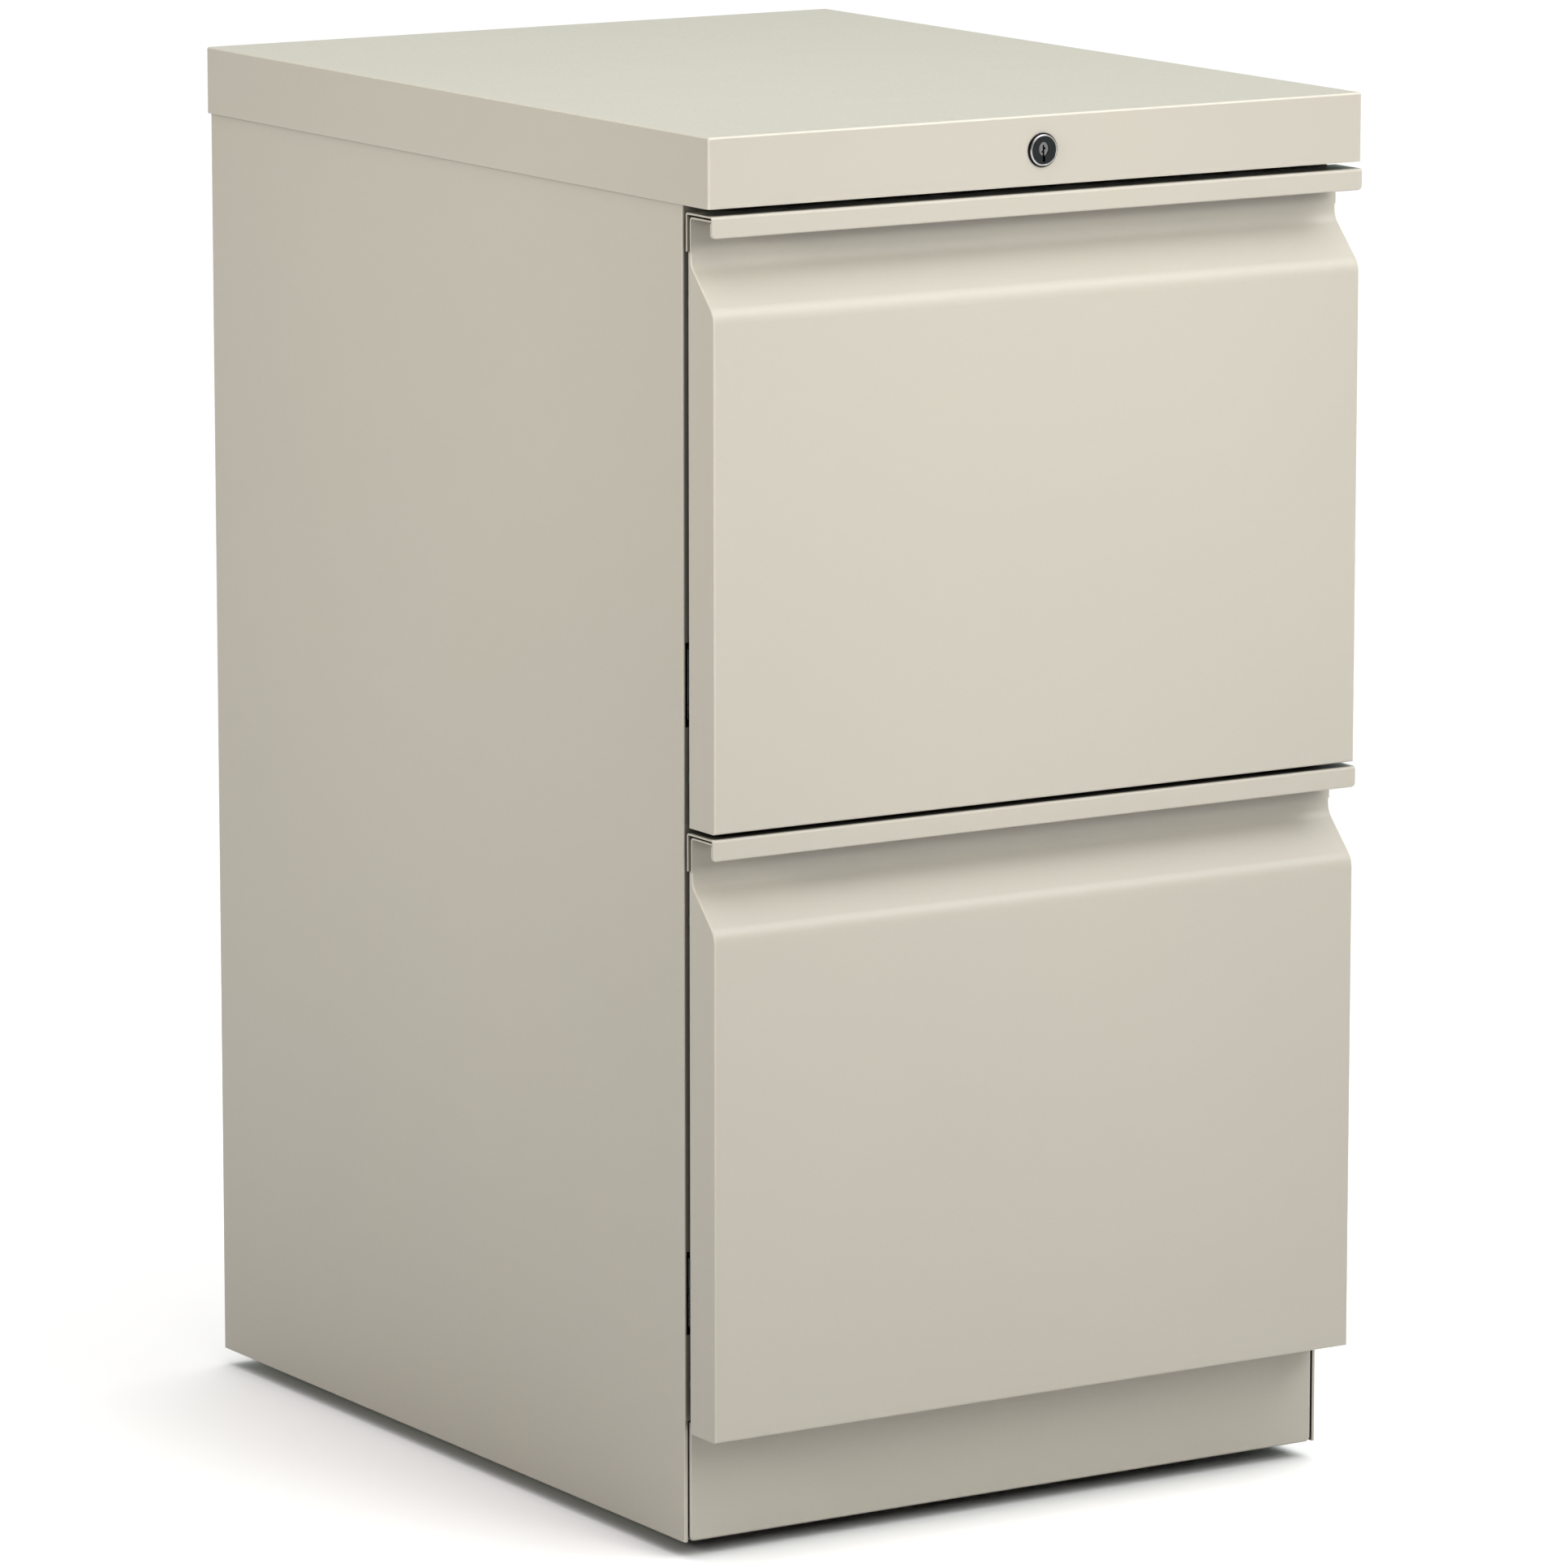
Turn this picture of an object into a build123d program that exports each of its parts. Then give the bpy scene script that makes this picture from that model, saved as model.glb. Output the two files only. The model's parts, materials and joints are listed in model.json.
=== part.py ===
"""Two-drawer mobile pedestal file cabinet in painted sheet steel.

A cabinet 385 x 505 x 711 mm on four recessed swivel casters. Two equal file
drawers run on full-extension ball-bearing slides. Each has a full-overlay
front with a recessed radius pull along its top edge. One lock in the front
of the top cap turns a long rod that lifts a vertical bar behind the drawers.

Frame: +Z up, +Y to the back, +X to the right when facing the drawers.
Origin: on the floor, under the centre of the overall box. Millimetres.
"""
from build123d import *
import math
import os

os.makedirs("parts", exist_ok=True)

# ---------------------------------------------------------------- dimensions
overall_w = 385.0        # over the top cap
overall_d = 505.0        # drawer face to the back of the top cap
overall_h = 711.0        # floor to the top of the top cap
sheet = 1.0              # case sheet
skin = 0.9               # drawer sheet
body_w = 382.0           # over the side panels
floor_gap = 9.0          # floor to the bottom edge of the case

cap_h = 34.8             # apron height of the top cap
cap_set_back = 1.8       # cap front behind the drawer faces
cap_edge_r = 1.3         # outside bend radius of the top cap

front_h = 302.4          # height of a drawer front
upper_z0 = 370.4         # bottom edge of the upper drawer front
lower_z0 = 65.6          # bottom edge of the lower drawer front
front_w = 381.2
pull_w = 383.0           # the pull lip runs a little past the face
front_t = 23.3           # face to the back of the side returns

lip_h = 10.8             # pull lip, from the top of the drawer front
neck_y = 21.2            # face to the front of the neck behind the lip
slant_top = -26.1        # where the slant meets the neck, from the top
slant_bottom = -48.0     # where the slant meets the face, from the top
neck_r = 10.0            # bend between neck and slant
face_r = 11.0            # bend between slant and face

box_half_w = 177.3       # drawer box, over the sides
box_back_y = 225.0       # outside of the drawer back
side_h = 224.0           # drawer side height
back_h = 246.0           # drawer back height

slide_len = 440.0
slide_y0 = -222.5        # front end of the slides, closed
slide_up = 70.0          # slide centre above the bottom edge of a front
travel = 430.0           # full extension

caster_x = 145.0
caster_y = (-178.0, 203.0)
trail = 14.0             # axle behind the kingpin
wheel_r = 20.0
wheel_w = 18.0

lock_z = overall_h - 17.4
crank_r = 10.0           # crank at the back of the lock rod
bar_lift = 2 * crank_r * math.sin(math.radians(45))

y_face = -overall_d / 2
y_cap = y_face + cap_set_back
y_back = overall_d / 2
y_body = y_cap + 26.8    # front plane of the case
y_body_back = y_back - 1.5
half_body = body_w / 2
inner = half_body - sheet            # inside of the side panels
kick_top = 70.0


def write(part, name):
    """Labels one finished piece and writes its STEP file."""
    part.label = name
    export_step(part, f"parts/{name}.step")


def block(x0, x1, y0, y1, z0, z1, mode=Mode.ADD):
    """A box between two corners, for the part being built."""
    with Locations(((x0 + x1) / 2, (y0 + y1) / 2, (z0 + z1) / 2)):
        Box(abs(x1 - x0), abs(y1 - y0), abs(z1 - z0), mode=mode)


# ---------------------------------------------------------------- top cap
with BuildPart() as top_cap:
    block(-overall_w / 2, overall_w / 2, y_cap, y_back, overall_h - cap_h, overall_h)
    fillet(top_cap.edges().filter_by(Axis.Z), 1.5)
    fillet(top_cap.faces().sort_by(Axis.Z)[-1].edges(), cap_edge_r)
    block(-overall_w / 2 + sheet, overall_w / 2 - sheet, y_cap + sheet, y_back - sheet,
          overall_h - cap_h, overall_h - sheet, mode=Mode.SUBTRACT)
    # bottom return of the front apron
    block(-overall_w / 2 + sheet, overall_w / 2 - sheet, y_cap + sheet, y_cap + sheet + 10,
          overall_h - cap_h, overall_h - cap_h + sheet)
    # lock hole
    with Locations(Plane((0, y_cap, lock_z), x_dir=(1, 0, 0), z_dir=(0, -1, 0))):
        Cylinder(8.1, 6, mode=Mode.SUBTRACT)
write(top_cap.part, "top_cap")

# ---------------------------------------------------------------- side panels
flange_in = 178.0        # inner edge of the front flange
fold_r = 1.2             # outside radius of the front fold
notch = 21.0             # half height of the flange notches at the slides
hem = 0.9                # second layer of the hem beside the kick


def side_panel(s, name):
    """One side panel. s is -1 on the left and +1 on the right."""
    with BuildPart() as panel:
        # panel and front flange above the kick, bent from one sheet
        with BuildSketch(Plane.XY.offset(kick_top + 1)):
            with BuildLine():
                FilletPolyline((s * half_body, y_body_back), (s * half_body, y_body),
                               (s * flange_in, y_body), radius=fold_r)
                offset(amount=sheet, side=Side.RIGHT if s > 0 else Side.LEFT)
            make_face()
        extrude(amount=709 - kick_top - 1)
        # beside the kick the panel ends in a hem, folded flat on itself
        block(s * inner, s * half_body, y_body, y_body_back, floor_gap, kick_top + 1)
        block(s * (inner - hem), s * inner, y_body, y_body + 11, floor_gap, kick_top + 1)
        # top and bottom flanges
        block(s * flange_in, s * inner, y_body + sheet + 1, 249.5, 708, 709)
        block(s * (inner - 8), s * inner, y_body + 20, 236, floor_gap, floor_gap + 1)
        for z0 in (upper_z0, lower_z0):
            block(s * (flange_in - 1), s * (inner - 0.5), y_body - 1, y_body + sheet + 0.5,
                  z0 + slide_up - notch, z0 + slide_up + notch, mode=Mode.SUBTRACT)
        corner = panel.edges().filter_by(Axis.Z).filter_by(
            lambda e: abs(abs(e.center().X) - half_body) < 0.01
            and (abs(e.center().Y - y_body) < 0.01 or abs(e.center().Y - y_body_back) < 0.01))
        fillet(corner, 0.8)
    write(panel.part, name)


side_panel(-1, "left_side_panel")
side_panel(1, "right_side_panel")

# ---------------------------------------------------------------- back panel
with BuildPart() as back_panel:
    block(-inner + 0.1, inner - 0.1, y_body_back - sheet, y_body_back, floor_gap, 709)
    for s in (-1, 1):
        block(s * (inner - 1.1), s * (inner - 0.1), 238, y_body_back - sheet, 75, 700)
    block(-170, 170, 238, y_body_back - sheet, floor_gap, floor_gap + 1)
write(back_panel.part, "back_panel")

# ---------------------------------------------------------------- base
with BuildPart() as base_pan:
    block(-inner + 0.1, inner - 0.1, y_body + 11.5, 249.8, 57.5, 59)
    for s in (-1, 1):
        block(s * (inner - 1.3), s * (inner - 0.1), -211, 236, 36, 57.5)
    block(-187.9, 187.9, y_body + 11.5, y_body + 12.7, 36, 57.5)
    for cx in (-caster_x, caster_x):
        for cy in caster_y:
            with Locations((cx, cy, 58.25)):
                with GridLocations(48, 36, 2, 2):
                    Cylinder(2.6, 4, mode=Mode.SUBTRACT)
    for bx in (-80, 80):
        with Locations((bx, 216, 58.25)):
            Cylinder(3.1, 4, mode=Mode.SUBTRACT)
write(base_pan.part, "base_pan")

kick_half = inner - 2.05
y_kick = y_body - 0.5
with BuildPart() as kick_panel:
    # a tray on edge: front sheet with all four edges folded back
    block(-kick_half, kick_half, y_kick, y_kick + 12, floor_gap, kick_top)
    fillet(kick_panel.edges().filter_by(Axis.Y).group_by(Axis.Z)[0], 2.8)
    front_edges = kick_panel.faces().sort_by(Axis.Y)[0].edges()
    fillet(front_edges, 1.2)
    with BuildSketch(Plane((0, y_kick + sheet, (floor_gap + kick_top) / 2), x_dir=(1, 0, 0),
                           z_dir=(0, 1, 0))):
        RectangleRounded(2 * (kick_half - sheet), kick_top - floor_gap - 2 * sheet, 1.8)
    extrude(amount=14, mode=Mode.SUBTRACT)
write(kick_panel.part, "kick_panel")

with BuildPart() as counterweight:
    block(-104, 104, 192, 240, 14, 57.4)
    fillet(counterweight.edges().filter_by(Axis.Z), 4)
    for bx in (-80, 80):
        with Locations((bx, 216, 36)):
            Cylinder(3.1, 60, mode=Mode.SUBTRACT)
write(counterweight.part, "counterweight")

# ---------------------------------------------------------------- front top rail
with BuildPart() as front_top_rail:
    # an upright web with a flange folded back at its top and at its bottom
    with BuildSketch(Plane((-inner + 1.2, y_body + sheet, 0), x_dir=(0, 1, 0), z_dir=(1, 0, 0))):
        with BuildLine():
            FilletPolyline((22.9, 706), (0, 706), (0, 680), (16.9, 680), radius=1.6)
            offset(amount=sheet, side=Side.LEFT)
        make_face()
    extrude(amount=2 * inner - 2.4)
    with Locations(Plane((0, y_body + 2, lock_z), x_dir=(1, 0, 0), z_dir=(0, -1, 0))):
        Cylinder(9.0, 8, mode=Mode.SUBTRACT)
write(front_top_rail.part, "front_top_rail")

# ---------------------------------------------------------------- drawer fronts
lip_r = 2.4                            # lower corners of the pull lip
screw_x = box_half_w - 8.5             # screws between the box and the front
slant = math.atan2(slant_top - slant_bottom, neck_y)
nrm = (math.sin(slant), -math.cos(slant))      # into the front, square to the slant


def inner_corner_face(t):
    """Where the inner faces of the slant and the face sheet meet."""
    s = (t - nrm[0] * t) / math.cos(slant)
    return (t, slant_bottom + nrm[1] * t + math.sin(slant) * s)


def inner_corner_neck(t):
    """Where the inner faces of the slant and the neck sheet meet."""
    y = neck_y + t
    s = (y - nrm[0] * t) / math.cos(slant)
    return (y, slant_bottom + nrm[1] * t + math.sin(slant) * s)


def drawer_front(z0, name):
    """Outer skin: face, slant, neck and the under layer of the pull."""
    top = z0 + front_h
    plane = Plane((-front_w / 2, y_face, top), x_dir=(0, 1, 0), z_dir=(1, 0, 0))
    plane_in = Plane((-front_w / 2 + skin, y_face, top), x_dir=(0, 1, 0), z_dir=(1, 0, 0))
    with BuildPart() as front:
        # solid outer shape of the pan
        with BuildSketch(plane) as outer_profile:
            with BuildLine():
                Polyline((0, -front_h), (0, slant_bottom), (neck_y, slant_top),
                         (neck_y, -19.5), (front_t, -19.5), (front_t, -front_h), close=True)
            make_face()
            fillet(outer_profile.vertices().filter_by(
                lambda v: abs(v.Y - slant_bottom) < 0.1 and abs(v.X) < 0.1), face_r)
            fillet(outer_profile.vertices().filter_by(
                lambda v: abs(v.Y - slant_top) < 0.1), neck_r)
        extrude(amount=front_w)
        # hollow behind the sheet
        with BuildSketch(plane_in) as inner_profile:
            fy, fz = inner_corner_face(skin)
            ny, nz = inner_corner_neck(skin)
            with BuildLine():
                Polyline((skin, -front_h + skin), (fy, fz), (ny, nz), (ny, -10),
                         (front_t + 5, -10), (front_t + 5, -front_h + skin), close=True)
            make_face()
            fillet(inner_profile.vertices().filter_by(
                lambda v: abs(v.Y - fz) < 0.1 and abs(v.X - fy) < 0.1), face_r - skin)
            fillet(inner_profile.vertices().filter_by(
                lambda v: abs(v.Y - nz) < 0.1), neck_r + skin)
        extrude(amount=front_w - 2 * skin, mode=Mode.SUBTRACT)
        # outside bends at the ends, along the slant and at the bottom
        ends = front.edges().filter_by(
            lambda e: abs(abs(e.center().X) - front_w / 2) < 0.01
            and z0 + 1 < e.center().Z < top - 19.4
            and ((abs(e.center().Y - y_face) < 0.01 and e.length > 200)
                 or (e.center().Y < y_face + 20.9 and e.length > 5
                     and abs(e.center().Z - (top - 37)) < 14)))
        bottom = front.edges().filter_by(Axis.X).filter_by(
            lambda e: abs(e.center().Y - y_face) < 0.01 and abs(e.center().Z - z0) < 0.01)
        fillet(ends + bottom, 1.1)
        # neck and the under layer of the pull
        with BuildSketch(plane) as neck_profile:
            with BuildLine():
                Polyline((neck_y, -19.6), (neck_y, -2.9), (2.0, -2.9), (2.0, -2.0),
                         (neck_y + skin, -2.0), (neck_y + skin, -19.6), close=True)
            make_face()
            fillet(neck_profile.vertices().filter_by(
                lambda v: abs(v.Y + 2.9) < 0.01 and abs(v.X - neck_y) < 0.01), 1.2)
            fillet(neck_profile.vertices().filter_by(
                lambda v: abs(v.Y + 2.0) < 0.01 and abs(v.X - neck_y - skin) < 0.01), 2.1)
        extrude(amount=front_w)
    write(front.part, name)


def drawer_inner_front(z0, name):
    """Back skin: rear panel, top of the pull and its hemmed lip."""
    top = z0 + front_h
    plane = Plane((-pull_w / 2, y_face, top), x_dir=(0, 1, 0), z_dir=(1, 0, 0))
    y1 = front_t + skin
    with BuildPart() as inner_front:
        with BuildSketch(plane) as profile:
            with BuildLine():
                Polyline((0, 0), (y1, 0), (y1, -front_h + 1.2), (front_t, -front_h + 1.2),
                         (front_t, -skin), (skin, -skin), (skin, -3.4), (2 * skin, -3.4),
                         (2 * skin, -lip_h), (0, -lip_h), close=True)
            make_face()
            fillet(profile.vertices().filter_by(lambda v: abs(v.X) < 0.01 and abs(v.Y) < 0.01), 1.6)
            fillet(profile.vertices().filter_by(lambda v: abs(v.X - y1) < 0.01 and abs(v.Y) < 0.01), 1.5)
            fillet(profile.vertices().filter_by(lambda v: abs(v.Y + lip_h) < 0.01), 0.8)
            fillet(profile.vertices().filter_by(
                lambda v: abs(v.X - skin) < 0.01 and abs(v.Y + skin) < 0.01), 0.7)
            fillet(profile.vertices().filter_by(
                lambda v: abs(v.X - front_t) < 0.01 and abs(v.Y + skin) < 0.01), 0.6)
        extrude(amount=pull_w)
        # the rear panel is narrower than the pull
        for s in (-1, 1):
            block(s * (front_w / 2 - 0.6), s * (pull_w / 2 + 1), y_face + front_t - 1,
                  y_face + y1 + 1, z0, top - 19.0, mode=Mode.SUBTRACT)
        # rounded lower corners of the lip
        for s in (-1, 1):
            cx, cz = s * (pull_w / 2 - lip_r), -(top - lip_h + lip_r)
            with BuildSketch(Plane((0, y_face - 1, 0), x_dir=(1, 0, 0), z_dir=(0, 1, 0))):
                # this plane's y axis points down
                with Locations((cx + s * lip_r / 2 + s * 0.5, cz + lip_r / 2 + 0.5)):
                    Rectangle(lip_r + 1, lip_r + 1)
                with Locations((cx, cz)):
                    Circle(lip_r, mode=Mode.SUBTRACT)
            extrude(amount=4, mode=Mode.SUBTRACT)
        # screw holes for the drawer box
        for x in (-screw_x, screw_x):
            for z in (z0 + 40, z0 + 200):
                with Locations(Plane((x, y_face + front_t, z), x_dir=(1, 0, 0), z_dir=(0, -1, 0))):
                    Cylinder(2.2, 6, mode=Mode.SUBTRACT)
    write(inner_front.part, name)


# ---------------------------------------------------------------- drawer boxes
y_box = y_face + front_t + skin        # back of the inner front


def drawer_box(z0, prefix):
    """Sides, bottom, back, rails, catch, bumpers and screws of one drawer."""
    zb = z0 + 8
    for s, word in ((-1, "left"), (1, "right")):
        with BuildPart() as side:
            block(s * (box_half_w - 1), s * box_half_w, y_box, box_back_y, zb, zb + side_h)
            # rolled top edge and bottom flange
            block(s * (box_half_w - 6), s * (box_half_w - 1), y_box, box_back_y - 1.2,
                  zb + side_h - 1, zb + side_h)
            block(s * (box_half_w - 6), s * (box_half_w - 5), y_box, box_back_y - 1.2,
                  zb + side_h - 5, zb + side_h - 1)
            # front flange against the inner front
            block(s * (box_half_w - 14), s * (box_half_w - 1), y_box, y_box + 1,
                  zb + 1.2, zb + side_h - 6)
            for z in (z0 + 40, z0 + 200):
                with Locations(Plane((s * screw_x, y_box + 0.5, z), x_dir=(1, 0, 0),
                                     z_dir=(0, 1, 0))):
                    Cylinder(2.2, 3, mode=Mode.SUBTRACT)
        write(side.part, f"{prefix}_drawer_{word}_side")

    with BuildPart() as bottom:
        block(-box_half_w + 1, box_half_w - 1, y_box, box_back_y, zb, zb + 1)
        # pressed stiffening ribs under the bottom
        for x in (-105, -35, 35, 105):
            block(x - 5, x + 5, y_box + 30, box_back_y - 30, zb - 1.2, zb)
    write(bottom.part, f"{prefix}_drawer_bottom")

    with BuildPart() as back:
        block(-box_half_w + 1, box_half_w - 1, box_back_y - 1, box_back_y, zb + 1, zb + back_h)
        fillet(back.edges().filter_by(Axis.Y).group_by(Axis.Z)[-1], 8)
    write(back.part, f"{prefix}_drawer_back")

    with BuildPart() as rails:
        for s in (-1, 1):
            block(s * 153, s * 155, y_box, box_back_y - 1, zb + back_h - 18, zb + back_h - 4)
            block(s * 155, s * 165, y_box, y_box + 1.5, zb + back_h - 18, zb + back_h - 4)
            block(s * 155, s * 165, box_back_y - 2.5, box_back_y - 1, zb + back_h - 18, zb + back_h - 4)
    write(rails.part, f"{prefix}_hanging_rails")

    # catch behind the drawer back: base, shelf and a lip that hangs down
    with BuildPart() as catch:
        block(-5, 22, box_back_y, box_back_y + 1.5, z0 + 206, z0 + 240)
        block(-5, 22, box_back_y + 1.5, 240, z0 + 232, z0 + 233.5)
        block(-5, 22, 238.5, 240, z0 + 218, z0 + 232)
    write(catch.part, f"{prefix}_drawer_catch")

    with BuildPart() as bumpers:
        for x in (-184, 184):
            for z in (z0 + 24, z0 + 258):
                with Locations(Plane((x, y_box + 1.8, z), x_dir=(1, 0, 0), z_dir=(0, 1, 0))):
                    Cylinder(5, 3.6)
    write(bumpers.part, f"{prefix}_drawer_bumpers")

    with BuildPart() as screws:
        for x in (-screw_x, screw_x):
            for z in (z0 + 40, z0 + 200):
                with Locations(Plane((x, y_box + 1, z), x_dir=(1, 0, 0), z_dir=(0, 1, 0))):
                    Cylinder(4, 2.2, align=(Align.CENTER, Align.CENTER, Align.MIN))
                    Cylinder(2.1, 7, align=(Align.CENTER, Align.CENTER, Align.MAX))
        heads = screws.edges().filter_by(GeomType.CIRCLE).filter_by(
            lambda e: e.center().Y > y_box + 3 and e.radius > 3.5)
        fillet(heads, 1.2)
        for x in (-screw_x, screw_x):
            for z in (z0 + 40, z0 + 200):
                # cross recess
                block(x - 2.2, x + 2.2, y_box + 2.1, y_box + 4, z - 0.5, z + 0.5, mode=Mode.SUBTRACT)
                block(x - 0.5, x + 0.5, y_box + 2.1, y_box + 4, z - 2.2, z + 2.2, mode=Mode.SUBTRACT)
    write(screws.part, f"{prefix}_front_screws")


for z0, prefix in ((upper_z0, "upper"), (lower_z0, "lower")):
    drawer_front(z0, f"{prefix}_drawer_front")
    drawer_inner_front(z0, f"{prefix}_drawer_inner_front")
    drawer_box(z0, prefix)

# ---------------------------------------------------------------- slides
# Across a slide, u runs from the side panel (0) to the drawer side (12.7).


def member(sections, zc, y0, y1):
    """Both slides' copies of one member, each a union of boxes (u0, u1, v0, v1)."""
    for s in (-1, 1):
        for u0, u1, v0, v1 in sections:
            block(s * (inner - u0), s * (inner - u1), y0, y1, zc + v0, zc + v1)


for z0, prefix in ((upper_z0, "upper"), (lower_z0, "lower")):
    zc = z0 + slide_up
    y0, y1 = slide_y0, slide_y0 + slide_len
    with BuildPart() as cabinet_members:
        member([(0, 1.2, -22.5, 22.5),
                (1.2, 10.8, 21.3, 22.5), (1.2, 10.8, -22.5, -21.3),
                (9.8, 10.8, 20.0, 21.3), (9.8, 10.8, -21.3, -20.0)], zc, y0, y1)
    write(cabinet_members.part, f"{prefix}_slide_cabinet_members")

    with BuildPart() as middle_members:
        member([(2.7, 3.9, -17.3, 17.3),
                (3.9, 10.4, 16.1, 17.3), (3.9, 10.4, -17.3, -16.1),
                (9.6, 10.4, 14.9, 16.1), (9.6, 10.4, -16.1, -14.9)], zc, y0, y1)
    write(middle_members.part, f"{prefix}_slide_middle_members")

    with BuildPart() as drawer_members:
        member([(11.5, 12.7, -12.1, 12.1),
                (5.3, 11.5, 10.9, 12.1), (5.3, 11.5, -12.1, -10.9)], zc, y0, y1)
    write(drawer_members.part, f"{prefix}_slide_drawer_members")

    # ball cages: a thin channel with balls standing through its arms
    for kind, web, arm, v in (("outer", (1.6, 2.2), (2.2, 9.2), 19.3),
                              ("inner", (4.3, 4.8), (4.8, 10.4), 14.1)):
        with BuildPart() as cage:
            member([(web[0], web[1], -v - 0.4, v + 0.4),
                    (arm[0], arm[1], v - 0.4, v + 0.4), (arm[0], arm[1], -v - 0.4, -v + 0.4)],
                   zc, -105, 95)
            uc = (arm[0] + arm[1]) / 2
            for s in (-1, 1):
                for vv in (-v, v):
                    with Locations(*[(s * (inner - uc), -95 + 20 * i, zc + vv) for i in range(10)]):
                        Sphere(1.7)
        write(cage.part, f"{prefix}_slide_{kind}_ball_cages")

# ---------------------------------------------------------------- lock
axis_plane = Plane((0, y_cap, lock_z), x_dir=(1, 0, 0), z_dir=(0, -1, 0))
with BuildPart() as lock_housing:
    # half section about the axis: x out from the axis, y towards the front
    with BuildSketch(Plane((0, y_cap, lock_z), x_dir=(1, 0, 0), z_dir=(0, 0, 1))) as section:
        with BuildLine():
            Polyline((7.05, -1.7), (7.4, -1.7), (8.5, -0.6), (8.5, 0), (8.0, 0),
                     (8.0, 24), (4.2, 24), (4.2, 22), (7.05, 22), close=True)
        make_face()
    revolve(axis=Axis((0, y_cap, lock_z), (0, 1, 0)))
write(lock_housing.part, "lock_housing")

with BuildPart() as lock_nut:
    with BuildSketch(Plane((0, y_cap + sheet, lock_z), x_dir=(1, 0, 0), z_dir=(0, 1, 0))):
        RegularPolygon(12, 6)
        Circle(8.05, mode=Mode.SUBTRACT)
    extrude(amount=3.5)
write(lock_nut.part, "lock_nut")

y_plug = y_cap - 1.6
plug_plane = Plane((0, y_plug, lock_z), x_dir=(1, 0, 0), z_dir=(0, -1, 0))
with BuildPart() as lock_plug:
    with BuildSketch(plug_plane):
        Circle(7.0)
    extrude(amount=-22.2)
    fillet(lock_plug.edges().filter_by(GeomType.CIRCLE).group_by(Axis.Y)[0], 0.35)
    with BuildSketch(plug_plane.offset(-22.2)):
        Circle(4.1)
    extrude(amount=-8)
    # pocket for the core, and the keyway's lower part across the face
    with BuildSketch(plug_plane):
        with Locations((0, 0.6)):
            Ellipse(2.9, 3.5)
    extrude(amount=-16, mode=Mode.SUBTRACT)
    with BuildSketch(plug_plane):
        with Locations((0, -4.3)):
            Rectangle(1.5, 3.4)
    extrude(amount=-14, mode=Mode.SUBTRACT)
write(lock_plug.part, "lock_plug")

with BuildPart() as lock_core:
    with BuildSketch(plug_plane.offset(-0.5)):
        with Locations((0, 0.6)):
            Ellipse(2.85, 3.45)
    extrude(amount=-15)
    # stepped keyway
    with BuildSketch(plug_plane):
        with Locations((0, -1.2)):
            Rectangle(1.0, 7.6)
        with Locations((0.65, 0.9)):
            Rectangle(1.3, 1.0)
        with Locations((-0.6, -0.9)):
            Rectangle(1.2, 0.9)
    extrude(amount=-13, mode=Mode.SUBTRACT)
write(lock_core.part, "lock_core")

rod_y0 = y_plug + 30.2
px, pz = crank_r * math.cos(math.radians(45)), -crank_r * math.sin(math.radians(45))
with BuildPart() as lock_rod:
    with BuildSketch(Plane((0, rod_y0, lock_z), x_dir=(1, 0, 0), z_dir=(0, 1, 0))):
        Circle(3)
    extrude(amount=236 - rod_y0)
    # crank arm and pin
    with BuildSketch(Plane((0, 236, lock_z), x_dir=(1, 0, 0), z_dir=(0, 1, 0))):
        # this plane's y axis points down
        with Locations((px / 2, -pz / 2)):
            SlotCenterToCenter(crank_r, 8, rotation=45)
    extrude(amount=3)
    with BuildSketch(Plane((0, 239, lock_z), x_dir=(1, 0, 0), z_dir=(0, 1, 0))):
        with Locations((px, -pz)):
            Circle(2.5)
    extrude(amount=8)
write(lock_rod.part, "lock_rod")

bar_x = (-2.0, 19.0)
with BuildPart() as bar_strap:
    block(bar_x[0], bar_x[1], 243, 245, 100, lock_z + pz + 7)
    # slot for the crank pin
    with BuildSketch(Plane((0, 242, lock_z + pz), x_dir=(1, 0, 0), z_dir=(0, 1, 0))):
        with Locations((8.5, 0)):
            SlotOverall(11.0, 6.4)
    extrude(amount=4, mode=Mode.SUBTRACT)
with BuildPart() as bar_hooks:
    # hooks spot-welded to the strap: a foot, a shelf and an upright lip
    for z0 in (upper_z0, lower_z0):
        block(0, 17, 241.4, 243, z0 + 186, z0 + 202)
        block(0, 17, 234.5, 243, z0 + 200, z0 + 202)
        block(0, 17, 234.5, 236.5, z0 + 202, z0 + 215)
write(Compound([*bar_strap.part.solids(), *bar_hooks.part.solids()]), "lock_bar")

with BuildPart() as lock_bar_guides:
    for zc in (180, 430, 640):
        gx0, gx1 = bar_x[0] - 0.5, bar_x[1] + 0.5
        block(gx0 - 1.2, gx1 + 1.2, 241.2, 242.4, zc - 10, zc + 10)
        for gx, d in ((gx0, -1), (gx1, 1)):
            block(gx, gx + d * 1.2, 242.4, y_body_back - sheet, zc - 10, zc + 10)
            block(gx + d * 1.2, gx + d * 11, y_body_back - sheet - 1.2, y_body_back - sheet,
                  zc - 10, zc + 10)
write(lock_bar_guides.part, "lock_bar_guides")

# ---------------------------------------------------------------- casters
corners = [("front_left", -caster_x, caster_y[0]), ("front_right", caster_x, caster_y[0]),
           ("rear_left", -caster_x, caster_y[1]), ("rear_right", caster_x, caster_y[1])]

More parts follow.
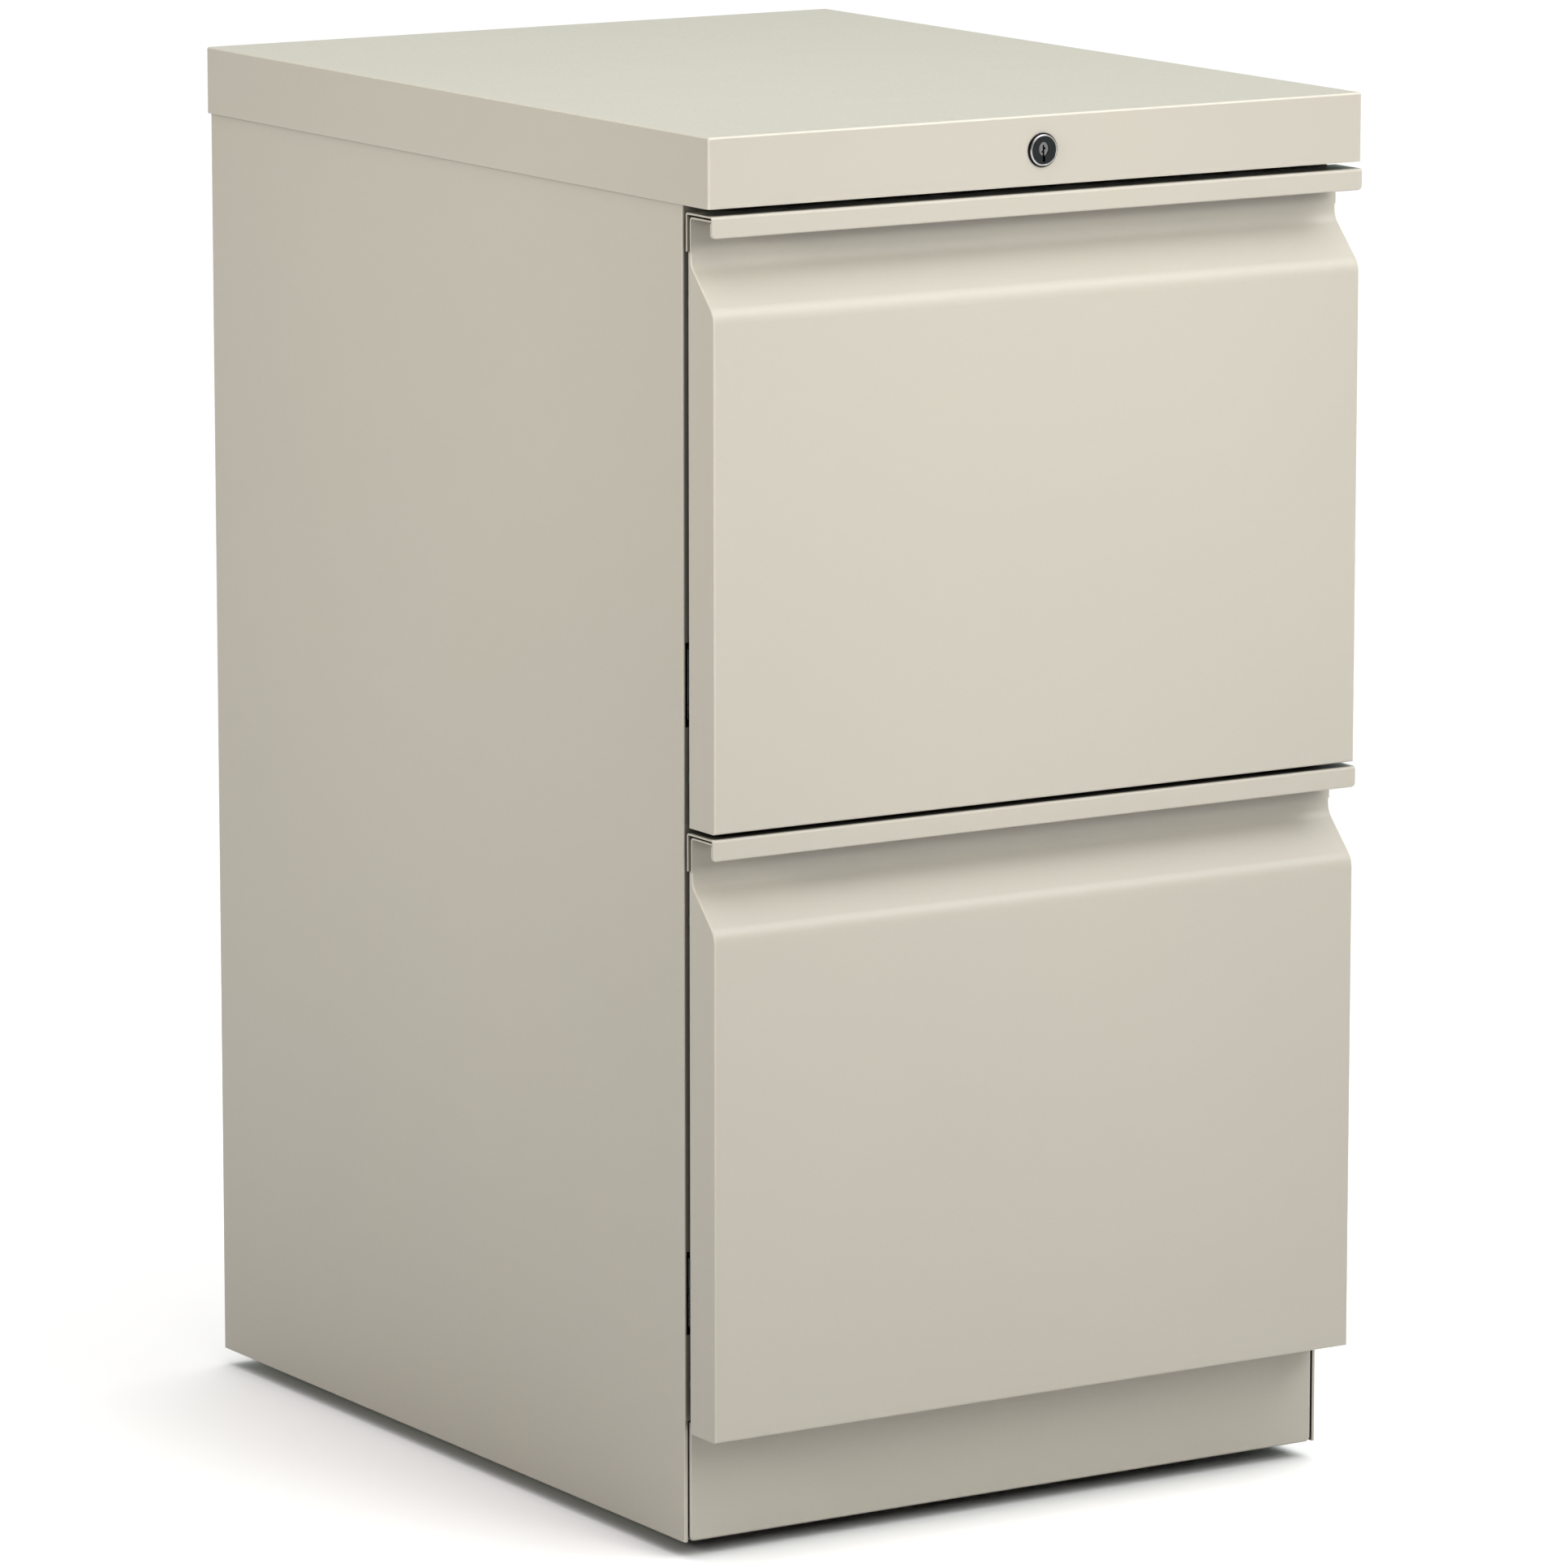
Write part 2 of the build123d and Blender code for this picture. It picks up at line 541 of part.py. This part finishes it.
with BuildPart() as caster_plates:
    for _, cx, cy in corners:
        block(cx - 32, cx + 32, cy - 25, cy + 25, 55.5, 57.5)
        with Locations((cx, cy, 54.0)):
            Cylinder(15, 3)
    for _, cx, cy in corners:
        with Locations((cx, cy, 55)):
            Cylinder(4.0, 12, mode=Mode.SUBTRACT)
        with Locations((cx, cy, 56.5)):
            with GridLocations(48, 36, 2, 2):
                Cylinder(2.6, 4, mode=Mode.SUBTRACT)
write(caster_plates.part, "caster_plates")

with BuildPart() as caster_kingpins:
    for _, cx, cy in corners:
        with Locations((cx, cy, (45.5 + 57.4) / 2)):
            Cylinder(3.98, 57.4 - 45.5)
        with Locations((cx, cy, 44.4)):
            Cylinder(6.5, 2.2)
write(caster_kingpins.part, "caster_kingpins")

with BuildPart() as base_screws:
    for _, cx, cy in corners:
        with Locations((cx, cy, 54.2)):
            with GridLocations(48, 36, 2, 2):
                Cylinder(4.5, 2.6)
        with Locations((cx, cy, 58)):
            with GridLocations(48, 36, 2, 2):
                Cylinder(2.5, 5.4)
    for bx in (-80, 80):
        with Locations((bx, 216, 61)):
            Cylinder(5.5, 4)
        with Locations((bx, 216, 37)):
            Cylinder(3.0, 44)
write(base_screws.part, "base_screws")


def caster(cx, cy, name):
    """Fork, axle and wheel of one caster. The wheel trails towards the back."""
    with BuildPart() as fork:
        with Locations((cx, cy, 49)):
            Cylinder(18, 3)
        with Locations((cx, cy, 51.3)):
            Cylinder(13.5, 1.6)
        for s in (-1, 1):
            with BuildSketch(Plane((cx + s * 12.6, cy, 0), x_dir=(0, 1, 0), z_dir=(1, 0, 0))):
                with BuildLine():
                    Polyline((-11.5, 50.5), (12.5, 50.5), (20.5, 22), (20.5, 15), (16, 12.5), (9, 14),
                             (4.5, 22), close=True)
                make_face()
            extrude(amount=1.0, both=True)
        with Locations((cx, cy, 50)):
            Cylinder(4.06, 10, mode=Mode.SUBTRACT)
        with Locations(Plane((cx, cy + trail, wheel_r), x_dir=(0, 1, 0), z_dir=(1, 0, 0))):
            Cylinder(3.0, 40, mode=Mode.SUBTRACT)
    write(fork.part, f"{name}_caster_fork")

    with BuildPart() as axle:
        with Locations(Plane((cx, cy + trail, wheel_r), x_dir=(0, 1, 0), z_dir=(1, 0, 0))):
            Cylinder(2.98, 29.6)
        for s in (-1, 1):
            with Locations(Plane((cx + s * 14.25, cy + trail, wheel_r), x_dir=(0, 1, 0), z_dir=(1, 0, 0))):
                Cylinder(4.6, 1.1)
    write(axle.part, f"{name}_caster_axle")

    with BuildPart() as wheel:
        with BuildSketch(Plane((cx, cy + trail, wheel_r), x_dir=(1, 0, 0), z_dir=(0, 0, 1))) as half:
            # a half section: x along the axle, y out to the tread
            with BuildLine():
                Polyline((-11.2, 3.06), (-11.2, 6.0), (-7.0, 6.0), (-7.0, 14.5), (-wheel_w / 2, 14.5),
                         (-wheel_w / 2, wheel_r), (wheel_w / 2, wheel_r), (wheel_w / 2, 14.5),
                         (7.0, 14.5), (7.0, 6.0), (11.2, 6.0), (11.2, 3.06), close=True)
            make_face()
            fillet(half.vertices().filter_by(lambda v: abs(v.Y - wheel_r) < 0.01), 2.5)
        revolve(axis=Axis((cx, cy + trail, wheel_r), (1, 0, 0)))
    write(wheel.part, f"{name}_caster_wheel")


for corner_name, cx, cy in corners:
    caster(cx, cy, corner_name)
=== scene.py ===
"""Looks of the two-drawer mobile pedestal: finishes, studio and camera."""
import json
import math

import bpy
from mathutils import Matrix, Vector


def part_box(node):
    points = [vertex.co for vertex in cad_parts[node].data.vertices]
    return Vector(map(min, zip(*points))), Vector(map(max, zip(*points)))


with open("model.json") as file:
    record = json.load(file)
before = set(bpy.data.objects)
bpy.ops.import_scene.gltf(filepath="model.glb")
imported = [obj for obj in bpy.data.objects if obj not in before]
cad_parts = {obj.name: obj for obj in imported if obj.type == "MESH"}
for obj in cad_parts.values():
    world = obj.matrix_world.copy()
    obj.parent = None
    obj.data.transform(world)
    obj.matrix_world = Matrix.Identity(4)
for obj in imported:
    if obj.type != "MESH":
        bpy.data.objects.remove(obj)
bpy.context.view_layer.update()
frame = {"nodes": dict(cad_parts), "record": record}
nodes = frame["nodes"]


# ------------------------------------------------------------------ node helpers
class Tree:
    """A small builder around one material's node tree."""

    def __init__(self, name):
        self.mat = bpy.data.materials.new(name)
        self.mat.use_nodes = True
        self.t = self.mat.node_tree
        self.t.nodes.clear()
        self.out = self.t.nodes.new("ShaderNodeOutputMaterial")
        self.bsdf = self.t.nodes.new("ShaderNodeBsdfPrincipled")
        self.link(self.bsdf.outputs["BSDF"], self.out.inputs["Surface"])
        self.coord = self.t.nodes.new("ShaderNodeTexCoord").outputs["Object"]

    def link(self, a, b):
        self.t.links.new(a, b)

    def node(self, kind, **props):
        n = self.t.nodes.new(kind)
        for k, v in props.items():
            setattr(n, k, v)
        return n

    def noise(self, scale, detail=2.0, rough=0.5, stretch=None, distortion=0.0):
        n = self.node("ShaderNodeTexNoise")
        n.inputs["Scale"].default_value = scale
        n.inputs["Detail"].default_value = detail
        n.inputs["Roughness"].default_value = rough
        n.inputs["Distortion"].default_value = distortion
        src = self.coord
        if stretch:
            m = self.node("ShaderNodeMapping")
            m.inputs["Scale"].default_value = stretch
            self.link(src, m.inputs["Vector"])
            src = m.outputs["Vector"]
        self.link(src, n.inputs["Vector"])
        return n.outputs["Fac"]

    def voronoi(self, scale):
        n = self.node("ShaderNodeTexVoronoi")
        n.inputs["Scale"].default_value = scale
        self.link(self.coord, n.inputs["Vector"])
        return n.outputs["Distance"]

    def remap(self, value, a, b, lo, hi, smooth=False):
        n = self.node("ShaderNodeMapRange", clamp=True)
        if smooth:
            n.interpolation_type = "SMOOTHSTEP"
        n.inputs["From Min"].default_value = a
        n.inputs["From Max"].default_value = b
        n.inputs["To Min"].default_value = lo
        n.inputs["To Max"].default_value = hi
        self.link(value, n.inputs["Value"])
        return n.outputs["Result"]

    def math(self, op, a, b=None, clamp=False):
        n = self.node("ShaderNodeMath", operation=op, use_clamp=clamp)
        for i, v in enumerate((a, b)):
            if v is None:
                continue
            if isinstance(v, (int, float)):
                n.inputs[i].default_value = v
            else:
                self.link(v, n.inputs[i])
        return n.outputs[0]

    def mix(self, fac, a, b, blend="MIX"):
        n = self.node("ShaderNodeMix", data_type="RGBA", blend_type=blend)
        if isinstance(fac, (int, float)):
            n.inputs[0].default_value = fac
        else:
            self.link(fac, n.inputs[0])
        for i, v in ((6, a), (7, b)):
            if isinstance(v, (tuple, list)):
                n.inputs[i].default_value = (*v[:3], 1.0)
            else:
                self.link(v, n.inputs[i])
        return n.outputs[2]

    def edge(self, radius, lo=0.01, hi=0.25):
        """1 on outside and inside corners, 0 on flats."""
        bev = self.node("ShaderNodeBevel", samples=6)
        bev.inputs["Radius"].default_value = radius
        geo = self.node("ShaderNodeNewGeometry")
        dot = self.node("ShaderNodeVectorMath", operation="DOT_PRODUCT")
        self.link(bev.outputs["Normal"], dot.inputs[0])
        self.link(geo.outputs["Normal"], dot.inputs[1])
        inv = self.math("SUBTRACT", 1.0, dot.outputs["Value"], clamp=True)
        return self.remap(inv, lo, hi, 0.0, 1.0)

    def folds(self, above):
        """1 on the rounded upright folds and, over the given height, on the level ones too."""
        geo = self.node("ShaderNodeNewGeometry")
        absolute = self.node("ShaderNodeVectorMath", operation="ABSOLUTE")
        self.link(geo.outputs["Normal"], absolute.inputs[0])
        n = self.node("ShaderNodeSeparateXYZ")
        self.link(absolute.outputs[0], n.inputs[0])
        upright = self.math("MINIMUM", n.outputs["X"], n.outputs["Y"])
        level = self.math("MINIMUM", n.outputs["Z"], self.math("MAXIMUM", n.outputs["X"], n.outputs["Y"]))
        place = self.node("ShaderNodeSeparateXYZ")
        self.link(self.coord, place.inputs[0])
        level = self.math("MULTIPLY", level, self.math("GREATER_THAN", place.outputs["Z"], above))
        return self.remap(self.math("MAXIMUM", upright, level), 0.12, 0.55, 0.0, 1.0, smooth=True)

    def painted_crevice_shade(self, distance, dark, light=0.74):
        """Painted shade: goes from dark in narrow gaps up to 1 in the open."""
        ao = self.node("ShaderNodeAmbientOcclusion", samples=6)
        ao.inputs["Distance"].default_value = distance
        return self.remap(ao.outputs["AO"], 0.22, light, dark, 1.0)

    def bump(self, height, strength, distance, normal=None):
        n = self.node("ShaderNodeBump")
        n.inputs["Strength"].default_value = strength
        n.inputs["Distance"].default_value = distance
        self.link(height, n.inputs["Height"])
        if normal is not None:
            self.link(normal, n.inputs["Normal"])
        return n.outputs["Normal"]

    def soft_edges(self, radius):
        bev = self.node("ShaderNodeBevel", samples=6)
        bev.inputs["Radius"].default_value = radius
        return bev.outputs["Normal"]

    def set(self, **sockets):
        for k, v in sockets.items():
            s = self.bsdf.inputs[k.replace("_", " ")]
            if isinstance(v, (int, float)):
                s.default_value = v
            elif isinstance(v, (tuple, list)):
                s.default_value = (*v[:3], 1.0)
            else:
                self.link(v, s)


def scaled(rgb, k):
    return tuple(min(1.0, c * k) for c in rgb)


def powder_coat(name, rgb, rough=0.40, edge_highlight=0.75, grain=1.0, edge_r=0.0005):
    """Baked powder coat: fine orange peel, faint tone drift, painted highlight on the bends and edges, painted shade
    in narrow gaps.
    """
    m = Tree(name)
    drift = m.noise(2.6, 3.0, 0.55)
    cloud = m.noise(11.0, 4.0, 0.6, distortion=0.4)
    peel = m.noise(520.0, 3.0, 0.55)
    fine = m.noise(1500.0, 2.0, 0.6)
    col = m.mix(m.remap(drift, 0.3, 0.7, 0, 1), scaled(rgb, 0.975), scaled(rgb, 1.02))
    warm = (rgb[0] * 1.015, rgb[1] * 0.995, rgb[2] * 0.975)
    col = m.mix(m.remap(cloud, 0.45, 0.72, 0, 0.35), col, warm)
    col = m.mix(m.remap(fine, 0.35, 0.68, 0, 0.30 * grain), col, scaled(rgb, 0.93))
    # painted highlight: the bends and sheet edges are mixed towards a lighter colour to stand in for their bright
    # highlight lines
    e = m.math("MAXIMUM", m.edge(edge_r), m.math("MULTIPLY", m.folds(0.700), 0.8))
    broken = m.remap(m.noise(190.0, 3.0, 0.6), 0.3, 0.62, 0.75, 1.0)
    e = m.math("MULTIPLY", e, broken)
    e = m.math("MULTIPLY", e, edge_highlight)
    col = m.mix(e, col, scaled(rgb, 1.40))
    # painted shade: narrow gaps, recesses and the room under overhangs are darkened from an ambient occlusion
    # reading, standing in for the shade that falls there
    gap_shade_mask = m.painted_crevice_shade(0.017, 0.10)
    shade = m.node("ShaderNodeCombineColor")
    for i in range(3):
        m.link(gap_shade_mask, shade.inputs[i])
    col = m.mix(1.0, col, shade.outputs[0], blend="MULTIPLY")
    r = m.math("ADD", m.remap(peel, 0.3, 0.7, rough - 0.035, rough + 0.045), m.remap(cloud, 0.4, 0.7, 0.0, 0.03))
    height = m.math("ADD", m.math("MULTIPLY", peel, 0.75), m.math("MULTIPLY", fine, 0.45))
    nrm = m.bump(height, 0.16 * grain, 0.00012, m.soft_edges(edge_r * 0.8))
    m.set(Base_Color=col, Roughness=r, Normal=nrm, Metallic=0.0)
    m.bsdf.inputs["IOR"].default_value = 1.48
    return m.mat


def zinc(name, rgb, rough=0.34, axis=1, spangle=True):
    """Bright zinc plate with drawing lines along one axis."""
    m = Tree(name)
    st = [1.0, 1.0, 1.0]
    st[axis] = 0.012
    lines = m.noise(900.0, 3.0, 0.65, stretch=tuple(st))
    cloud = m.noise(26.0, 4.0, 0.6, distortion=0.6)
    spots = m.noise(140.0, 3.0, 0.6)
    col = m.mix(m.remap(cloud, 0.35, 0.7, 0, 1), scaled(rgb, 0.86), scaled(rgb, 1.06))
    tint = (rgb[0] * 1.03, rgb[1] * 1.0, rgb[2] * 0.93)
    col = m.mix(m.remap(spots, 0.5, 0.75, 0, 0.5 if spangle else 0.15), col, tint)
    col = m.mix(m.remap(lines, 0.3, 0.7, 0, 0.35), col, scaled(rgb, 0.80))
    r = m.math("ADD", m.remap(lines, 0.25, 0.75, rough - 0.08, rough + 0.10), m.remap(cloud, 0.3, 0.75, -0.03, 0.05))
    nrm = m.bump(lines, 0.10, 0.00008, m.soft_edges(0.0003))
    m.set(Base_Color=col, Roughness=r, Normal=nrm, Metallic=1.0)
    return m.mat


def turned(name, rgb, centre, rough=0.25, contrast=0.5, metallic=1.0, edge_highlight=0.5, painted_shadow_radius=None):
    """Satin turned metal: fine rings about a Y axis through centre, a painted highlight on the edges, black beyond
    the given radius as a painted shadow round the flange.
    """
    m = Tree(name)
    sep = m.node("ShaderNodeSeparateXYZ")
    m.link(m.coord, sep.inputs[0])
    dx = m.math("SUBTRACT", sep.outputs["X"], centre[0])
    dz = m.math("SUBTRACT", sep.outputs["Z"], centre[2])
    rad = m.math("SQRT", m.math("ADD", m.math("MULTIPLY", dx, dx), m.math("MULTIPLY", dz, dz)))
    comb = m.node("ShaderNodeCombineXYZ")
    m.link(rad, comb.inputs[0])
    n = m.node("ShaderNodeTexNoise")
    n.inputs["Scale"].default_value = 5200.0
    n.inputs["Detail"].default_value = 3.0
    m.link(comb.outputs[0], n.inputs["Vector"])
    rings = n.outputs["Fac"]
    cloud = m.noise(420.0, 3.0, 0.6)
    col = m.mix(m.remap(rings, 0.3, 0.7, 0, contrast), rgb, scaled(rgb, 0.7))
    col = m.mix(m.remap(cloud, 0.4, 0.7, 0, 0.4), col, scaled(rgb, 1.25))
    # painted highlight: the turned edges are mixed towards a lighter colour
    e = m.math("MULTIPLY", m.edge(0.00025), edge_highlight)
    col = m.mix(e, col, scaled(rgb, 2.2))
    # painted shadow: past this radius the colour is black, standing in for the shadow round the lock flange
    if painted_shadow_radius:
        col = m.mix(m.remap(rad, painted_shadow_radius - 0.0001, painted_shadow_radius + 0.0001, 0.0, 1.0), col, (0.012, 0.012, 0.013))
    r = m.remap(rings, 0.3, 0.7, rough - 0.05, rough + 0.08)
    nrm = m.bump(rings, 0.12, 0.00004, m.soft_edges(0.00022))
    m.set(Base_Color=col, Roughness=r, Normal=nrm, Metallic=metallic)
    return m.mat


def moulded(name, rgb, rough=0.5, scale=700.0, dust=0.15, bump=0.2):
    """Moulded plastic or rubber with a fine spark-eroded texture and a little dust."""
    m = Tree(name)
    fine = m.noise(scale, 3.0, 0.6)
    cloud = m.noise(38.0, 4.0, 0.6)
    scuff = m.noise(260.0, 4.0, 0.7, stretch=(1.0, 0.25, 1.0))
    col = m.mix(m.remap(cloud, 0.3, 0.7, 0, 1), scaled(rgb, 0.8), scaled(rgb, 1.25))
    col = m.mix(m.remap(scuff, 0.55, 0.78, 0, dust), col, (0.22, 0.21, 0.19))
    r = m.math("ADD", m.remap(fine, 0.3, 0.7, rough - 0.06, rough + 0.08), m.remap(scuff, 0.5, 0.8, 0.0, 0.08))
    nrm = m.bump(fine, bump, 0.00012, m.soft_edges(0.0004))
    m.set(Base_Color=col, Roughness=r, Normal=nrm, Metallic=0.0)
    return m.mat


def cast(name, rgb):
    """Black-primed cast iron: sandy skin, a few rubbed high spots."""
    m = Tree(name)
    sand = m.noise(650.0, 5.0, 0.65)
    lump = m.noise(60.0, 4.0, 0.6)
    rub = m.edge(0.0012)
    col = m.mix(m.remap(lump, 0.3, 0.7, 0, 1), scaled(rgb, 0.8), scaled(rgb, 1.3))
    col = m.mix(m.math("MULTIPLY", rub, m.remap(sand, 0.45, 0.6, 0.1, 0.8)), col, (0.20, 0.19, 0.18))
    h = m.math("ADD", m.math("MULTIPLY", sand, 0.6), m.math("MULTIPLY", lump, 0.8))
    m.set(Base_Color=col, Roughness=m.remap(sand, 0.3, 0.7, 0.55, 0.78), Normal=m.bump(h, 0.5, 0.0005), Metallic=0.0)
    return m.mat


# ------------------------------------------------------------------ finishes
PAINT = (0.382, 0.355, 0.306)
lock_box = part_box("lock_housing")
lock_axis = ((lock_box[0][0] + lock_box[1][0]) / 2, 0.0, (lock_box[0][2] + lock_box[1][2]) / 2)

finish = {
    "case_paint": powder_coat("case_powder_coat", PAINT),
    "front_paint": powder_coat("front_powder_coat", PAINT),
    "box_paint": powder_coat("box_powder_coat", scaled(PAINT, 0.98), rough=0.46, grain=1.2),
    "counterweight_iron": cast("primed_iron", (0.030, 0.030, 0.031)),
    "lock_chrome": turned("lock_nickel", (0.26, 0.26, 0.26), lock_axis, rough=0.20, contrast=0.4, edge_highlight=0.9),
    "lock_dark": turned("lock_black_nickel", (0.042, 0.046, 0.046), lock_axis, rough=0.30, contrast=0.6),
    "lock_steel": zinc("lock_works_zinc", (0.50, 0.51, 0.53), rough=0.34, axis=2),
    "caster_zinc": zinc("caster_zinc_plate", (0.58, 0.59, 0.61), rough=0.30, axis=2),
    "rail_zinc": zinc("rail_zinc_plate", (0.60, 0.61, 0.63), rough=0.33),
    "slide_zinc": zinc("slide_zinc_plate", (0.60, 0.61, 0.63), rough=0.31),
    "cage_steel": zinc("cage_bright_steel", (0.50, 0.51, 0.52), rough=0.25),
    "bumper_rubber": moulded("bumper_rubber", (0.018, 0.018, 0.019), rough=0.70, dust=0.1),
    "wheel_plastic": moulded("wheel_nylon", (0.022, 0.022, 0.023), rough=0.42, dust=0.25),
}

slot_of = {s["node"]: s["material_slot"] for s in frame["record"]["subparts"]}
for name, obj in nodes.items():
    mat = finish[slot_of[name]]
    if name == "lock_housing":
        # the housing's ring past 7.8 mm radius is painted black as the shadow round its flange
        mat = turned("lock_rim", (0.56, 0.56, 0.55), lock_axis, rough=0.22, contrast=0.3, painted_shadow_radius=0.0078)
    if len(obj.material_slots) == 0:
        obj.data.materials.append(mat)
    for s in obj.material_slots:
        s.material = mat


# ------------------------------------------------------------------ studio
def area_light(name, place, aim, size, watts, colour=(1, 1, 1), spread=180.0, size_y=None, shine=True):
    data = bpy.data.lights.new(name, "AREA")
    data.energy = watts
    data.color = colour
    data.shape = "RECTANGLE" if size_y else "SQUARE"
    data.spread = math.radians(spread)
    data.size = size
    if size_y:
        data.size_y = size_y
    obj = bpy.data.objects.new(name, data)
    bpy.context.scene.collection.objects.link(obj)
    obj.visible_glossy = shine
    obj.location = place
    obj.rotation_euler = (Vector(aim) - Vector(place)).to_track_quat("-Z", "Y").to_euler()
    return obj


floor_mesh = bpy.data.meshes.new("floor")
R = 30.0
floor_mesh.from_pydata([(-R, -R, 0), (R, -R, 0), (R, R, 0), (-R, R, 0)], [], [(0, 1, 2, 3)])
floor = bpy.data.objects.new("floor", floor_mesh)
bpy.context.scene.collection.objects.link(floor)
fm = bpy.data.materials.new("studio_floor")
fm.use_nodes = True
fb = fm.node_tree.nodes["Principled BSDF"]
fb.inputs["Base Color"].default_value = (0.95, 0.95, 0.95, 1)
fb.inputs["Roughness"].default_value = 0.9
fb.inputs["Specular IOR Level"].default_value = 0.1
floor_mesh.materials.append(fm)

# soft dome: bright overhead, and a pale wall behind for the top to reflect
world = bpy.data.worlds.new("studio")
bpy.context.scene.world = world
world.use_nodes = True
wt = world.node_tree
bg = wt.nodes["Background"]
wdir = wt.nodes.new("ShaderNodeTexCoord").outputs["Generated"]


def glow(towards, power, colour):
    """Light that grows towards one direction."""
    dot = wt.nodes.new("ShaderNodeVectorMath")
    dot.operation = "DOT_PRODUCT"
    dot.inputs[1].default_value = towards
    wt.links.new(wdir, dot.inputs[0])
    top = wt.nodes.new("ShaderNodeMath")
    top.operation = "MAXIMUM"
    top.inputs[1].default_value = 0.0
    wt.links.new(dot.outputs["Value"], top.inputs[0])
    fall = wt.nodes.new("ShaderNodeMath")
    fall.operation = "POWER"
    fall.inputs[1].default_value = power
    wt.links.new(top.outputs[0], fall.inputs[0])
    tint = wt.nodes.new("ShaderNodeVectorMath")
    tint.operation = "SCALE"
    tint.inputs[0].default_value = colour
    wt.links.new(fall.outputs[0], tint.inputs["Scale"])
    return tint.outputs[0]


overhead = glow((0.0, 0.0, 1.0), 4.0, (2.97, 2.87, 2.93))
wall = glow((0.53, 0.83, 0.18), 2.0, (0.64, 0.77, 0.68))
both = wt.nodes.new("ShaderNodeVectorMath")
both.operation = "ADD"
wt.links.new(overhead, both.inputs[0])
wt.links.new(wall, both.inputs[1])
wt.links.new(both.outputs[0], bg.inputs["Color"])
bg.inputs["Strength"].default_value = 1.0

# the studio backdrop beyond the floor is plain white; the glows above only light the object
backdrop = wt.nodes.new("ShaderNodeBackground")
backdrop.inputs["Color"].default_value = (1.0, 1.0, 1.0, 1.0)
backdrop.inputs["Strength"].default_value = 1.0
seen = wt.nodes.new("ShaderNodeLightPath").outputs["Is Camera Ray"]
pick = wt.nodes.new("ShaderNodeMixShader")
wt.links.new(seen, pick.inputs[0])
wt.links.new(bg.outputs[0], pick.inputs[1])
wt.links.new(backdrop.outputs[0], pick.inputs[2])
wt.links.new(pick.outputs[0], wt.nodes["World Output"].inputs["Surface"])

area_light("key", (0.42, -2.1, 1.6), (0, -0.25, 0.6), 0.9, 1.74, (0.985, 1.0, 0.93), 44.0, shine=False)
area_light("low_key", (0.6, -2.6, 1.35), (0, -0.25, 0.68), 0.7, 1.05, (0.97, 0.99, 1.0), 29.0, shine=False)
area_light("top_key", (1.12, -1.52, 2.22), (0, -0.25, 0.72), 1.7, 4.15, (0.94, 0.99, 1.0), 44.0)
area_light("side_key", (-2.3, -0.7, 1.3), (-0.19, -0.02, 0.66), 0.7, 1.95, (1.0, 1.0, 0.88), 38.0)

view = bpy.context.scene.view_settings
view.view_transform = "Standard"
view.look = "None"
view.exposure = 0.0
view.gamma = 1.0

# ------------------------------------------------------------------ camera
cam_data = bpy.data.cameras.new("camera")
cam = bpy.data.objects.new("camera", cam_data)
bpy.context.scene.collection.objects.link(cam)
eye = Vector((-2.50643, -4.01515, 1.20878))
aim = Vector((0.007347, 0.0, 0.337285))
cam.location = eye
cam.rotation_euler = (aim - eye).to_track_quat("-Z", "Y").to_euler()
cam_data.sensor_width = 36.0
cam_data.lens = 212.307
cam_data.clip_start = 0.05
cam_data.clip_end = 100.0
bpy.context.scene.camera = cam
